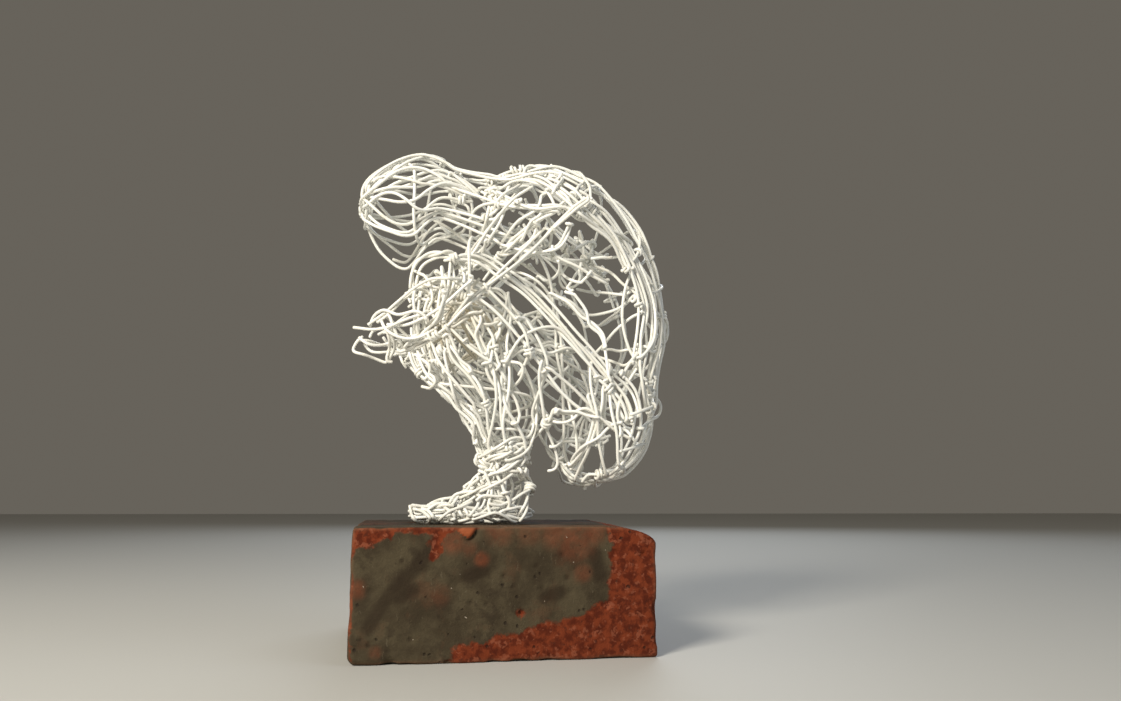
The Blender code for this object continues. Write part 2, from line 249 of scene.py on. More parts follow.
# Strands of the side that shows. Each has its form, how deep its start and end lie in the form
# (0 is the near wall and 1 the far one), its wires side by side, and its run in the photograph's
# pixels as x,y. It ends where the next form's name stands.
STRANDS = {
    "back": """
torso 0 0 2 523,169 544,167 562,172 586,184 604,195 620,208 636,229 649,256 658,279 663,308 664,329
  658,352 651,378
torso 0 0 2 507,177 534,169 557,177 583,193 604,211 622,235 636,258 646,284 652,310 651,337 641,355
torso 0 0 2 494,182 523,176 547,181 570,198 591,216 615,240 630,266 641,292 645,313 641,337 639,360
  643,384 647,407
torso 0 0 1 497,180 528,173 562,182 588,206 607,229 620,248 633,276 639,303 638,329 633,365
torso 0 0 2 658,318 652,355 650,381 652,407 650,431 641,454 625,470 604,478 583,482 568,475 560,459
torso 0 0 1 645,381 652,392 660,403 658,414 651,419 641,428
torso 0 0 1 664,317 667,331 662,343 649,352
torso 0 0 2 494,189 507,186 523,180 539,182 557,190 575,208 591,222 612,240 628,266
torso 0 0 2 489,193 510,202 534,205 557,206 575,211 596,222 617,233 630,242
torso 0 0 1 486,216 502,198 520,180 528,169 549,169
torso 0 0 2 497,195 486,227 473,250 463,271 455,287
torso 0 0 1 505,201 500,222 489,240 477,256 466,273
torso 0 0 1 557,207 528,229 507,248 497,261 484,279
torso 0 0 1 587,182 565,203 544,216 523,232 507,245 492,266
torso 0 0 1 536,219 534,235 523,245 507,253 497,253
torso 0.1 0.3 1 523,224 534,242 549,253 562,261 575,266 591,287
torso 0.2 0.3 1 562,242 568,261 560,276 565,287 578,282 581,266 573,253 565,248
torso 0.1 0.2 1 510,256 528,266 549,282 562,297 575,310 588,329
torso 0.1 0.1 1 649,256 630,276 622,313 628,344 641,365
torso 0 0 1 602,478 622,462 636,439 641,412 636,389 622,373
""",
    "chords": """
torso 0.5 0.2 1 577,288 602,292 629,293
torso 0.1 0.3 1 549,290 570,299 583,313 598,331 605,347
torso 0.1 0.4 1 632,297 615,309 591,314 575,310
torso 0.1 0.3 1 636,313 617,327 604,344 588,358
torso 0.3 0.1 1 604,348 622,349 641,347
torso 0.3 0.1 1 588,261 607,270 625,283 638,297
torso 0.5 0.3 1 583,256 602,276 608,281
torso 0.6 0.3 1 599,325 615,313 630,299
torso 0.2 0.1 1 588,352 612,360 628,363 641,344
torso 0.3 0.5 1 520,318 539,310 534,324 549,334 562,329
torso 0.2 0.5 1 528,360 547,344 565,352 583,347
torso 0.6 0.4 1 557,441 581,436 602,426
torso 0.2 0.6 1 628,253 607,256 588,245 575,235
torso 0.1 0.1 1 592,257 601,257 612,256
torso 0 0 1 572,290 586,309 590,324 603,336 607,360 608,376
torso 0 0 1 552,292 570,303 582,316 592,322 602,334 606,347
torso 0.2 0.3 1 584,263 598,275 608,281
torso 0 0 1 660,334 637,354 619,376
torso 0 0 1 655,345 653,362 651,380
""",
    "thigh": """
thigh 0 0 1 445,259 463,258 479,262 502,278 523,292 541,310 560,331 578,352 599,376 617,397 625,418
thigh 0 0 2 451,257 470,256 485,260 509,276 530,290 548,308 566,329 585,350 606,374 624,395 632,416
thigh 0 0 1 458,255 477,253 492,257 516,273 537,287 555,306 573,327 592,348 612,371 631,392 639,413
thigh 0 0 1 508,357 518,339 530,330 547,326 560,330 575,344 594,365 610,385 622,405 628,420
thigh 0 0 1 541,360 540,381 543,405 547,426 557,454 556,467 548,470
thigh 0 0 1 480,360 497,360 518,361 523,367 520,378 510,389 497,399 486,410 471,414
thigh 0 0.3 1 549,365 570,384 596,410 612,428
thigh 0 0 1 591,360 592,386 595,412 598,439 604,465 607,476
thigh 0 0.2 1 609,360 607,392 602,418 588,444 570,465
thigh 0 0 1 609,392 613,418 617,444 619,467
thigh 0 0 1 557,405 547,420 536,436 526,448
thigh 0 0 1 557,410 570,412 586,407 602,418 620,431 633,439
thigh 0 0 1 568,465 583,449 591,431 595,412 586,392
thigh 0 0 1 641,360 630,378 622,394 617,412 620,433
thigh 0 0.4 1 507,358 528,347 549,352 568,347 586,355 596,381
thigh 0 0.2 1 523,313 539,339 547,365 539,392 534,412 539,431
thigh 0 0 1 486,287 507,308 523,329 528,352 520,373
""",
    "shin": """
shin 0 0 2 411,351 415,363 422,374 432,384 444,393 453,402 466,412 475,422 478,439 484,456
shin 0 0 1 415,350 426,373 445,389 460,407 475,418 486,439
shin 0 0 1 450,334 460,360 476,381 486,407 489,433 492,454 486,470
shin 0 0 1 471,313 481,339 494,365 497,392 494,418 489,444 497,465
shin 0 0 1 507,352 502,378 507,405 518,426 523,444 520,465
shin 0 0 1 523,365 534,392 536,418 531,439 520,452 507,459
shin 0 0 1 445,276 439,308 445,334 452,358 471,378 486,399
shin 0 0 1 429,297 426,318 432,339 439,360 455,381 476,405
shin 0 0 1 510,313 497,334 486,360 494,381 513,394 520,418
shin 0 0 1 466,287 471,313 486,324 502,318 507,297 497,287 479,290
shin 0 0 2 412,287 413,273 418,261 432,252 447,252 458,258 463,269
shin 0 0 1 415,284 421,265 437,256 452,257 462,265 464,279 458,297
shin 0 0 1 416,271 426,276 432,297 426,313 432,334
shin 0 0 2 452,256 451,284 443,303 434,324 416,339 408,347
shin 0 0 1 479,412 486,439 497,452 513,446 523,454 518,467
shin 0 0 1 418,310 416,334 418,352 429,365 426,378
shin 0 0 1 507,292 510,318 507,344 510,371 507,397 502,423 507,449
shin 0 0 1 481,457 497,448 513,439 528,436 534,423
shin 0 0 1 422,386 430,386 436,380 428,375
shin 0 0 1 444,346 448,344 453,349 459,356 465,363 471,367
shin 0 0 1 444,349 446,363 451,384 456,400 466,420 478,440
shin 0 0 2 482,312 474,313 462,318 450,326
shin 0 0 1 481,316 476,332 478,343 486,356
shin 0 0 1 482,315 491,334 493,346 498,366
shin 0 0 1 500,324 493,344 488,362
shin 0 0 1 444,321 462,338 482,353 496,366 506,380
shin 0 0.1 1 466,341 488,353 494,366 500,384
shin 0 0.6 1 424,360 432,366 440,376 436,384
shin 0.3 0 1 422,366 431,360 441,362 444,372
shin 0 0 1 475,425 475,436 480,448 484,458 484,470
""",
    "foot": """
foot 0 0 2 522,455 506,466 489,475 478,482 471,489
foot 0 0 1 518,469 509,476 501,481 480,489 457,496 451,504
foot 0 0 1 512,489 507,493 501,495 483,496 477,501
foot 0 0 1 485,455 484,464 480,470 474,476 471,483 471,490 463,495
foot 0 0 1 459,504 460,509 463,514 468,519 474,522 483,519
foot 0 0 1 480,495 478,503 474,511 469,516 465,510 462,504
foot 0 0 2 521,468 527,476 530,484 528,496 525,502 522,508 519,518
foot 0 0 2 431,522 438,523 445,523 459,519 470,517 484,518
foot 0 0 2 471,514 481,512 492,512 507,514 519,517 531,514
foot 0 0 1 410,505 411,510 413,515 419,521 427,522 431,517 424,511 413,509
foot 0 0 2 412,507 419,510 433,507 446,505 456,501 463,493 471,488 482,480
foot 0 0 1 437,519 443,515 450,511 462,507 472,500
foot 0 0 1 420,508 430,512 436,519 446,522 455,516
foot 0 0 2 484,461 491,457 498,455 505,452 513,448 522,445 529,451 530,460
foot 0 0 1 495,470 503,486 508,500 505,514
foot 0 0 1 489,475 492,490 488,505 492,516
foot 0 0 1 531,486 522,492 512,500 500,505 488,504
foot 0 0 1 533,511 527,508 515,507 503,509 496,516
foot 0 0 1 453,504 440,506 428,505 418,506 411,505
foot 0 0 1 509,441 515,438 520,443 516,449 509,446
foot 0 0 1 445,504 452,511 456,519 466,521 470,513
""",
    "arm": """
arm 0 0 2 591,195 560,222 523,256 488,284 466,303 444,325 421,339 400,350
arm 0 0 1 452,276 433,276 418,284 403,297 387,310 369,324
arm 0 0 1 424,313 408,318 392,325 374,327 353,327
arm 0 0 1 476,276 450,297 429,313 408,322 387,324
arm 0 0 1 471,292 455,313 439,329 418,342 405,348
arm 0 0 1 387,310 392,324 400,339 408,350
arm 0 0 1 369,325 373,316 384,310 398,313 418,310 429,318
arm 0 0 1 382,321 392,331 408,337 424,334 439,324
arm 0 0 2 446,290 443,302 437,318 426,330 415,340 406,346
""",
    "hand": """
arm 0 0 1 362,335 356,341 353,350 365,354 377,358 387,361 392,353 395,344 390,331
arm 0 0 1 361,337 369,343 382,344 395,343 408,339
arm 0 0 1 388,331 390,344 387,358 392,360
""",
    "neck": """
head 0 0 1 450,172 463,182 476,193 486,201
torso 0 0 1 458,174 471,186 486,193 497,198 513,208
torso 0 0 1 520,203 502,201 489,203 475,209 470,220 470,241 466,256
torso 0 0 1 436,209 450,216 466,219 482,220 497,208
torso 0 0 1 431,217 455,232 469,243 476,261
""",
    "chest": """
torso 0 0 1 525,167 513,180 502,194 499,200
torso 0 0 1 469,178 482,180 497,177 513,172 525,169 540,167 558,170 576,177 591,186
torso 0 0 1 538,177 549,172 559,174 561,182 555,190
torso 0 0 1 546,186 552,198 558,206 572,194 585,182
torso 0 0 2 500,203 519,202 531,206 540,209 560,209
torso 0 0 2 569,222 560,242 546,250 526,257 505,274
torso 0 0 1 540,192 537,209 519,221 506,235 499,246
torso 0 0 1 543,212 529,227 516,241 503,246
torso 0.5 0.3 1 529,226 540,236 547,246
torso 0.6 0.4 1 528,228 534,250 538,262
torso 0.4 0.2 1 508,252 520,250 536,250
torso 0.1 0.2 1 547,212 552,233 549,250 554,258
torso 0 0 1 552,250 560,257 579,266 605,282
torso 0.1 0.4 1 556,258 567,252 579,246 589,240
torso 0.1 0.3 1 560,259 576,259 592,256 606,256
torso 0 0.1 1 559,259 558,271 546,280 537,272
torso 0.2 0 1 560,262 564,274 575,280 583,282
torso 0.1 0.1 1 581,262 579,282
torso 0 0.5 1 566,288 578,271 590,256 593,236
torso 0 0 1 487,189 493,187 495,196 488,201
torso 0 0 1 488,241 479,256 468,268
torso 0 0.2 1 478,262 500,269 519,282 528,288
torso 0.2 0.2 1 528,263 540,274 552,286
torso 0.7 0.3 1 520,212 534,222 540,240
torso 0.8 0.2 1 498,222 510,232 522,228
torso 0.9 0.4 1 545,225 560,236 568,250
""",
    "seat": """
torso 0 0 1 586,475 597,472 600,480 594,484 597,476
torso 0 0 1 558,460 569,471 586,477 597,473 619,471 631,461 638,446 646,422
thigh 0 0 1 597,375 610,386 624,401 628,418
thigh 0 0 1 579,411 574,417 557,422 546,418
thigh 0 0 1 559,410 579,411 595,417
thigh 0 0 1 571,463 583,446 597,437 610,425 621,421
thigh 0 0 1 578,473 586,453 595,427 603,401 607,379
thigh 0.5 0.5 1 559,442 579,439 597,439 610,435
""",
}


def smooth(values, places):
    """The smooth curve through evenly spaced values, read at places from 0 to 1."""
    last = len(values) - 1
    at = np.clip(places, 0, 1) * last
    i = np.minimum(at.astype(int), last - 1)
    f = (at - i)[:, None]
    before, a, b, after = (values[np.clip(i + j, 0, last)] for j in (-1, 0, 1, 2))
    bend = 2 * a + (b - before) * f + (2 * before - 5 * a + 4 * b - after) * f * f
    return (bend + (3 * (a - b) + after - before) * f ** 3) / 2


def standing(points):
    """Points in the figure's units as places on the brick, with the wire above its top."""
    places = np.asarray(points, float) * UNIT
    places[..., 2] = np.maximum(places[..., 2], WIRE / 2 + SOLE_ROOM) + BRICK_TOP
    return places


def on(form, along, turn, side=1, lift=1.0):
    """Points of a form: turn 0 is its outer edge, 0.25 its +Y side, and lift 0 its axis."""
    along, turn = np.broadcast_arrays(np.atleast_1d(along).astype(float), turn)
    ox, oz, ix, iz, y, half = smooth(RIBS[form], along).T
    angle = math.tau * turn
    across = np.cos(angle) * lift / 2
    x = (ox + ix) / 2 + (ox - ix) * across
    z = (oz + iz) / 2 + (oz - iz) * across
    return standing(np.stack([x, (y + half * np.sin(angle) * lift) * side, z], 1))


def camera_axes():
    """The camera's right, up and forward directions."""
    level = math.cos(PITCH)
    forward = np.array([math.sin(YAW) * level, math.cos(YAW) * level, math.sin(PITCH)])
    right = np.array([math.cos(YAW), -math.sin(YAW), 0])
    up = np.cross(right, forward)
    c, s = math.cos(ROLL), math.sin(ROLL)
    return right * c + up * s, up * c - right * s, forward


RIGHT, UP, FORWARD = camera_axes()
FOCAL = LENS / FILM * PICTURE[0]
CENTRE = np.array(PICTURE) / 2


def walls(form, side):
    """A form's near and far wall, each as pixels and depths."""
    along, turn = np.meshgrid(np.linspace(0, 1, 40), np.linspace(0, 1, 48))
    points = on(form, along.ravel(), turn.ravel(), side)
    near = points[:, 1] < on(form, along.ravel(), 0, side, 0)[:, 1]
    off = points - CAMERA_AT
    depth = off @ FORWARD
    pixels = CENTRE + FOCAL * np.stack([off @ RIGHT, -(off @ UP)], 1) / depth[:, None]
    return [(pixels[part], depth[part]) for part in (near, ~near)]


def pixel_rays(pixels):
    """Steps of 1 m forward from the camera that lead through the pixels."""
    off = (np.array(pixels, float) - CENTRE) / FOCAL
    return FORWARD + RIGHT * off[:, :1] - UP * off[:, 1:]


def met(wall, pixels):
    """How deep a wall lies at pixels, or near them where they miss it."""
    away = np.linalg.norm(pixels[:, None] - wall[0][None], axis=2)
    nearest = np.argsort(away, axis=1)[:, :8]
    weight = 1 / (np.take_along_axis(away, nearest, 1) + 1.5) ** 2
    return (wall[1][nearest] * weight).sum(1) / weight.sum(1)


def strand_rows(rows):
    """The strands of a group as lists of words. A form's name begins each."""
    made = []
    for word in rows.split():
        if word in RIBS:
            made.append([])
        made[-1].append(word)
    return made


def traced(form, first, last, pixels):
    """A strand's place in the form, from its run in the photograph."""
    pixels = smooth(np.array(pixels, float), np.linspace(0, 1, 8 * len(pixels)))
    near, far = walls(form, 1 if form in ("torso", "head") else -1)
    share = np.linspace(first, last, len(pixels))
    depth = met(near, pixels) * (1 - share) + met(far, pixels) * share
    for _ in range(6):
        depth[1:-1] = (depth[:-2] + depth[1:-1] + depth[2:]) / 3
    return spaced(CAMERA_AT + pixel_rays(pixels) * depth[:, None])


def spaced(points, step=STEP):
    """The line's points again at an even spacing."""
    points = np.asarray(points)
    run = np.concatenate([[0], np.cumsum(np.linalg.norm(np.diff(points, axis=0), axis=1))])
    keep = np.concatenate([[True], np.diff(run) > 1e-7])
    points, run = points[keep], run[keep]
    at = np.linspace(0, run[-1], max(int(run[-1] / step), 2) + 1)
    return np.stack([np.interp(at, run, points[:, k]) for k in range(3)], 1)


def through(stations, step=STEP):
    """A smooth line through stations, evenly spaced."""
    stations = np.asarray(stations)
    return spaced(smooth(stations, np.linspace(0, 1, 14 * len(stations))), step)


def rounded(corners, passes=6, step=STEP):
    """Straight runs between corners, with the corners bent round."""
    line = spaced(corners, step)
    for _ in range(passes):
        line[1:-1] += 0.5 * (line[:-2] + line[2:] - 2 * line[1:-1]) * 0.9
    return line


def sway(rng, count, size, waves=3):
    """A slow random wave of about that size, along count points."""
    t = np.linspace(0, math.tau, count)
    wave = 0
    for k in range(1, waves + 1):
        wave = wave + rng.normal() * np.sin(k * t / 2 + rng.uniform(0, math.tau))
    return wave * size / math.sqrt(waves)


def body_strand(rng, turn, loose=0.012):
    """A strand from the head's front over its top and down the trunk to the seat."""
    head = np.linspace(0, HEAD_END, 14)
    trunk = np.linspace(TRUNK_START, 1, 30)
    drift = turn + sway(rng, 44, loose)
    lift = np.minimum(0.955 + sway(rng, 44, 0.015), 1)
    line = [on("head", head, drift[:14], 1, lift[:14]), on("torso", trunk, drift[14:], 1, lift[14:])]
    return through(np.concatenate(line))


def head_strand(rng, turn):
    """A strand from the head's front over its side to the neck."""
    head = np.linspace(0, HEAD_END, 12)
    neck = np.linspace(TRUNK_START, rng.uniform(0.1, 0.22), 4)
    drift = turn + sway(rng, 16, 0.04)
    return through(np.concatenate([on("head", head, drift[:12]), on("torso", neck, drift[12:])]))


def limb_strand(rng, forms, turn, side, loose=0.03):
    """A strand along several forms of one limb. A form after the first is met from its far edge."""
    line = []
    for k, (form, a, b) in enumerate(forms):
        along = np.linspace(a, b, 9)
        drift = turn + sway(rng, 9, loose)
        if form == "foot":
            toe, back = rng.uniform(0.86, 0.99), rng.uniform(0.45, 0.75)
            along = np.array([a, 0.2, 0.4, 0.6, 0.8 * toe, toe, toe, 0.8 * toe, back])
            drift += rng.choice([-1, 1]) * np.array([0, 0, 0, 0, 0, 0.02, 0.12, 0.15, 0.16])
        lift = np.minimum((0.8 if form == "foot" else 0.95) + sway(rng, 9, 0.04), 1)
        line.append(on(form, along, drift if k == 0 else -drift, side, lift))
    return through(np.concatenate(line))


def form_size(form, along):
    """A form's length and its girth at a place, in metres."""
    ribs = RIBS[form]
    middle = (ribs[:, :2] + ribs[:, 2:4]) / 2
    length = np.linalg.norm(np.diff(middle, axis=0), axis=1).sum() * UNIT
    ox, oz, ix, iz, _, half = smooth(ribs, np.array([along]))[0]
    depth = math.hypot(ox - ix, oz - iz) / 2
    return length, math.tau * math.sqrt((depth ** 2 + half ** 2) / 2) * UNIT


def wander(rng, form, length, side=1, curl=1.0, low=0.86, ends=(0.03, 0.97)):
    """A wire that rambles over a form's surface, turning slowly and doubling back at its ends."""
    along, turn = rng.uniform(*ends), rng.uniform(0, 1)
    heading, bend = rng.uniform(0, math.tau), 0.0
    lift, sink = rng.uniform(low, 1), 0.0
    step = 0.003
    places = []
    for _ in range(int(length / step)):
        span, girth = form_size(form, along)
        bend = 0.85 * bend + rng.normal() * 9 * curl
        heading += bend * step
        along += step * math.cos(heading) / span
        turn += step * math.sin(heading) / max(girth, 0.02)
        if not ends[0] < along < ends[1]:
            along = min(max(along, ends[0]), ends[1])
            heading = math.pi - heading
        sink = 0.8 * sink + rng.normal() * 0.01
        lift = min(max(lift + sink, low), 1)
        places.append((along, turn, lift))
    along, turn, lift = np.array(places).T
    return through(on(form, along, turn, side, lift)[::2])


def crossing(rng, form, runs, side=1, reach=0.45, ends=(0.05, 0.95)):
    """A wire in nearly straight runs across a form's inside, hooked back at each wall."""
    along, turn = rng.uniform(*ends), rng.uniform(0, 1)
    corners = []
    for _ in range(runs + 1):
        corners.append(on(form, along, turn, side, rng.uniform(0.85, 1))[0])
        along += rng.uniform(0.1, reach) * rng.choice([-1, 1])
        along = ends[0] + abs((along - ends[0]) % (2 * (ends[1] - ends[0])))
        along = along if along <= ends[1] else 2 * ends[1] - along
        turn += rng.uniform(0.2, 0.6) * rng.choice([-1, 1])
    line = [corners[0]]
    for a, b in zip(corners, corners[1:]):
        bow = rng.normal(size=3) * 0.03 * np.linalg.norm(b - a)
        line += [a * 0.67 + b * 0.33 + bow, a * 0.33 + b * 0.67 + bow, b]
    return rounded(through(line, 0.001), 8)


def winding(rng, form, first, last, turns, side=1, tilt=0.0):
    """A wire wound round a form, a little unevenly, and lower at its outer edge by the tilt."""
    count = int(turns * 14) + 2
    t = np.linspace(0, 1, count)
    along = first + (last - first) * t + sway(rng, count, 0.012, 5)
    girth = t * turns + sway(rng, count, 0.02, 4)
    along = np.clip(along + tilt * np.cos(math.tau * girth), 0, 1)
    return through(on(form, along, girth, side, 0.95 + sway(rng, count, 0.03, 4)))


def tie(rng, along):
    """A wire over the back from flank to flank, a little askew."""
    turn = np.linspace(-0.2, 0.2, 12)
    along = along + turn * rng.uniform(-0.5, 0.5) + sway(rng, 12, 0.012)
    return through(on("torso", along, turn, 1, 0.95 + sway(rng, 12, 0.03)))


def tucked(lines):
    """The lines with the far leg's shin drawn a little towards +X."""
    made = []
    for line in lines:
        x, y, z = line.T
        share = np.clip(y / 0.008, 0, 1) * np.clip((0.03 - x) / 0.02, 0, 1)
        for height, reach, pull in TUCKS:
            x = x + share * pull * np.exp(-((z - height) / reach) ** 2)
        made.append(np.stack([x, y, z], 1))
    return made


def headings(line):
    """The line's direction at each of its points."""
    run = np.gradient(line, axis=0)
    return run / np.maximum(np.linalg.norm(run, axis=1), 1e-9)[:, None]


def crosswise(along):
    """Directions across a line that turn as little as they can along it."""
    across = np.cross(along[0], [0.3, 0.5, 0.8])
    made = []
    for t in along:
        across = across - t * (across @ t)
        across /= np.linalg.norm(across)
        made.append(across)
    return np.array(made)


def hooked(rng, lines):
    """The lines with each end led to the nearest other wire and wound round it."""
    points = np.concatenate(lines)
    owner = np.repeat(np.arange(len(lines)), [len(line) for line in lines])
    along = np.concatenate([headings(line) for line in lines])
    tree = kdtree.KDTree(len(points))
    for i, point in enumerate(points):
        tree.insert(point, i)
    tree.balance()
    made = []
    for k, line in enumerate(lines):
        ends = []
        for end in (line[0], line[-1]):
            hits = [i for _, i, far in tree.find_n(end, 60) if owner[i] != k and far < HOOK_REACH]
            in_hand = end[0] < FREE_HAND[0] and end[2] < FREE_HAND[1]
            low = end[2] < BRICK_TOP + FREE_BELOW
            if not hits or in_hand or low or len(line) * STEP < FREE_SHORT:
                ends.append(None)
                continue
            target, axis = points[hits[0]], along[hits[0]]
            off = end - target
            off -= axis * (off @ axis)
            far = max(np.linalg.norm(off), WIRE)
            e = off / max(np.linalg.norm(off), 1e-9)
            f = np.cross(axis, e)
            first = math.acos(min(WIRE / far, 1))
            turns = rng.uniform(*END_TURNS[rng.choice(3, p=END_SHARES)])
            angle = first + np.linspace(0, math.tau * turns, int(10 * turns) + 2)[:, None]
            climb = axis * rng.choice([-1, 1]) * WIRE * TURN_RISE * (angle - first) / math.tau
            ends.append(target + (e * np.cos(angle) + f * np.sin(angle)) * WIRE * WOUND + climb)
        if ends[0] is not None:
            line = np.concatenate([ends[0][::-1], line[1:]])
        if ends[1] is not None:
            line = np.concatenate([line[:-1], ends[1]])
        made.append(spaced(line, HOOKED_STEP))
    return made


def swayed(rng, line, size, waves=3):
    """The line with slow random waves in it."""
    return line + np.stack([sway(rng, len(line), size, waves) for _ in range(3)], 1)


def coil(rng, line, turns, i):
    """A knot: a wire wound tightly round a strand at its point i, with two short tails."""
    along = line[i + 2] - line[i - 2]
    along /= np.linalg.norm(along)
    side = np.cross(along, rng.normal(size=3))
    side /= np.linalg.norm(side)
    other = np.cross(along, side)
    t = np.linspace(0, turns, int(turns * 10) + 1)[:, None]
    radial = side * np.cos(math.tau * t) + other * np.sin(math.tau * t)
    helix = line[i] + radial * WIRE * WOUND + along * (t - turns / 2) * WIRE * TURN_RISE
    tails = []
    for end, inner in ((0, 2), (-1, -3)):
        out = helix[end] - helix[inner]
        out = out / np.linalg.norm(out) + along * rng.uniform(-1.2, 1.2)
        reach = rng.uniform(0.0008, 0.003)
        bend = (line[i] - helix[end]) / WIRE
        steps = np.linspace(0.25, 1, 4)[:, None]
        tails.append(helix[end] + (out * steps + bend * steps ** 2 * 0.5) * reach)
    return spaced(np.concatenate([tails[0][::-1], helix, tails[1]]), KNOT_STEP)


def traced_strands(rng, made):
    """Add the strands of the photograph, and copies of many of them on the far side."""
    for group, rows in STRANDS.items():
        raised = [0, 0, FAR_HAND_RAISE if group == "hand" else 0]
        for form, first, last, count, *run in strand_rows(rows):
            pixels = [[float(v) for v in pair.split(",")] for pair in run]
            line = traced(form, float(first), float(last), pixels)
            share, far_sway = FAR[form]
            near = [swayed(rng, line, NEAR_SWAY[0] + NEAR_SWAY[1] * k, 4) for k in range(int(count))]
            far = [swayed(rng, line * [1, -1, 1] + raised, far_sway) for _ in near]
            made[HOMES[form]] += near
            if rng.random() < share:
                made[HOMES[form]] += far


def limb_wires(rng, made, side, more):
    """Add one side's leg, foot and arm. Where more is 1 they get more wires than where it is 0."""
    leg = [("thigh", 0.02, 0.8), ("shin", 0.06, 0.95), ("foot", 0.05, 1)]
    count = 2 + 3 * more
    for k in range(count):
        made["legs"].append(limb_strand(rng, leg, (k + 0.5) / count, side, loose=0.05))
    made["legs"] += [wander(rng, "thigh", 0.25, side) for _ in range(2 * more)]
    made["legs"] += [wander(rng, "shin", 0.3, side, curl=1.5, low=0.6) for _ in range(1 + more)]
    made["legs"] += [crossing(rng, "shin", 8, side, reach=0.22) for _ in range(2)]
    made["feet"] += [wander(rng, "foot", 0.12, side, curl=1.5) for _ in range(1 + more)]
    made["feet"] += [winding(rng, "foot", 0, 0.85, 3, side, tilt=0.06)]
    made["legs"] += [winding(rng, "shin", 0.7, 0.97, 2, side, tilt=0.07)]
    made["legs"] += [winding(rng, "shin", 0.15, 0.7, 2, side, tilt=0.04)]
    count = 2 + more
    for k in range(count):
        made["arms"].append(limb_strand(rng, [("arm", 0, 0.86)], k / count, side, loose=0.06))
    made["arms"] += [winding(rng, "arm", 0.3, 0.8, 2, side)]


def wires():
    """Every wire of the figure, and the name of the piece that it belongs to."""
    rng = np.random.default_rng(WIRE_SEED)
    made = {part: [] for part in KNOTS}
    traced_strands(rng, made)
    made["trunk"] += [body_strand(rng, turn, loose=0.02) for turn in BACK_TURNS]
    made["trunk"] += [body_strand(rng, turn, loose=0.035) for turn in FLANK_TURNS]
    made["head"] += [head_strand(rng, turn) for turn in HEAD_TURNS]
    made["head"] += [wander(rng, "head", 0.25, curl=1.3, ends=(0.12, 0.97)) for _ in range(4)]
    limb_wires(rng, made, side=1, more=1)
    limb_wires(rng, made, side=-1, more=0)
    made["feet"] += [crossing(rng, "foot", 6)]
    made["legs"] += [winding(rng, "thigh", 0.1, 0.9, 2)]
    made["trunk"] += [tie(rng, along) for along in np.linspace(0.22, 0.9, BACK_TIES)]
    made["legs"], made["feet"] = tucked(made["legs"]), tucked(made["feet"])
    parts = [part for part, lines in made.items() for _ in lines]
    lines = hooked(rng, [line for lines in made.values() for line in lines])
    for part, count in KNOTS.items():
        own = [line for p, line in zip(parts, lines) if p == part]
        for k in rng.integers(0, len(own), count):
            i = rng.integers(2, len(own[k]) - 3)
            if own[k][i][0] < KNOTLESS:
                continue
            parts.append(part)
            lines.append(coil(rng, own[k], rng.uniform(*KNOT_TURNS), i))
    return parts, ease_apart(lines)


def near_segments(start, end, reach):
    """Pairs of segments whose middles lie in the same or neighbouring cells."""
    middle = (start + end) / 2
    cell = np.floor(middle / reach).astype(np.int64)
    cell -= cell.min(0) - 1
    width = cell.max(0) + 2
    key = (cell[:, 0] * width[1] + cell[:, 1]) * width[2] + cell[:, 2]
    order = np.argsort(key, kind="stable")
    ranked = key[order]
    ones, others = [], []
    for dx, dy, dz in np.ndindex(3, 3, 3):
        shift = ((dx - 1) * width[1] + dy - 1) * width[2] + dz - 1
        if shift < 0:
            continue
        low = np.searchsorted(ranked, key + shift, "left")
        high = np.searchsorted(ranked, key + shift, "right")
        count = high - low
        one = np.repeat(np.arange(len(key)), count)
        within = np.arange(count.sum()) - np.repeat(np.cumsum(count) - count, count)
        other = order[np.repeat(low, count) + within]
        keep = one < other if shift == 0 else np.ones(len(one), bool)
        ones.append(one[keep])
        others.append(other[keep])
    return np.concatenate(ones), np.concatenate(others)


def closest(p, u, q, v):
    """How far along each of two segments their nearest points lie."""
    w = p - q
    a, b, c = (u * u).sum(1), (u * v).sum(1), (v * v).sum(1)
    d, e = (u * w).sum(1), (v * w).sum(1)
    s = np.clip((b * e - c * d) / np.maximum(a * c - b * b, 1e-14), 0, 1)
    t = np.clip((b * s + e) / np.maximum(c, 1e-14), 0, 1)
    return np.clip((b * t - d) / np.maximum(a, 1e-14), 0, 1), t


